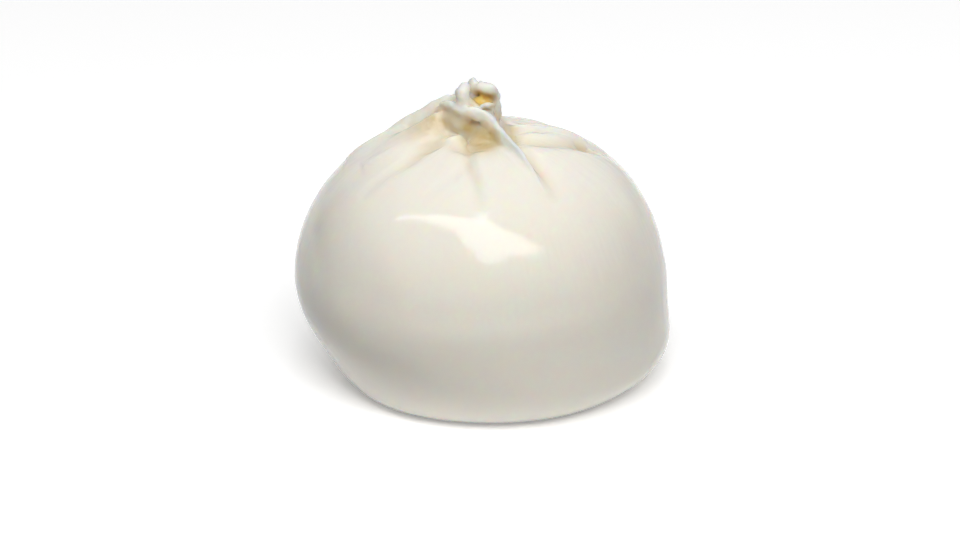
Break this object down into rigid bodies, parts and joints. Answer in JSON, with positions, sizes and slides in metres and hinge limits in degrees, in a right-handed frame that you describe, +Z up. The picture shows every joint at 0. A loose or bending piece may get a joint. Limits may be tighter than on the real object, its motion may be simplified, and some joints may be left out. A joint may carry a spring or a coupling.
{
  "type": "burrata",
  "caption": "Whole uncut burrata: a sagging ball of fresh stretched-curd cheese, its skin pleated up into a short pinched neck with a ragged knot.",
  "frame": {"origin": "centre of the object's footprint, on the surface that it rests on", "axes": "+Z up through the knot; -Y is the front, where the wrapped strand of skin runs down from the neck; +X is to the right seen from the front"},
  "size_m": [0.0942, 0.0932, 0.0763],
  "materials": {
    "fresh_cheese": "wet glossy ivory-white skin of fresh cheese with soft light scattering inside"
  },
  "bodies": {
    "root": {"burrata": "fresh_cheese"}
  },
  "joints": []
}
